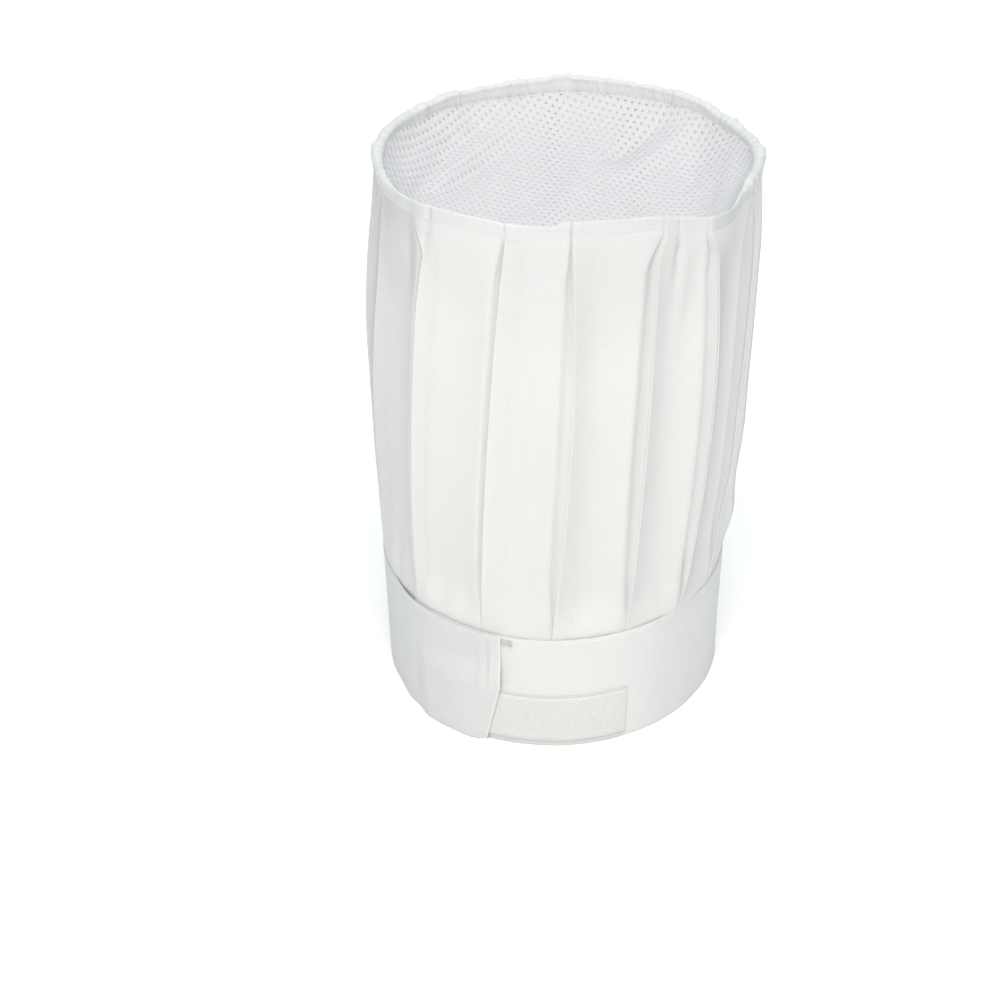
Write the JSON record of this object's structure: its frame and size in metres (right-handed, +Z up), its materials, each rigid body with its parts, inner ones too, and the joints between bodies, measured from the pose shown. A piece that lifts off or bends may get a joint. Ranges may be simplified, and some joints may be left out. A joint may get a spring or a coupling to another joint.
{
  "type": "chef hat",
  "caption": "Tall pleated cloth chef hat with an oval headband, an overlapping hook-and-loop closure at the back, a padded hem round the top and a sagging net crown top.",
  "frame": {"origin": "on the surface that the hat stands on, under the middle of its outer box", "axes": "+Z up towards the rim; -Y is the back of the hat, with the closure; +X is to the right when looking at the back"},
  "size_m": [0.1862, 0.1994, 0.268],
  "materials": {
    "band_cloth": "stiffened plain white poplin with fine horizontal ribs",
    "crown_cloth": "matte white cotton poplin",
    "hem_cloth": "matte white cotton poplin, padded and gathered",
    "net": "knitted polyester mesh, cool white",
    "loop_pile": "knobbly nylon loop pile",
    "hook_pile": "woven nylon hook tape"
  },
  "bodies": {
    "root": {"headband": "band_cloth", "crown": "crown_cloth", "rim_casing": "hem_cloth", "top_net": "net", "loop_tape": "loop_pile", "hook_tape": "hook_pile"}
  },
  "joints": []
}
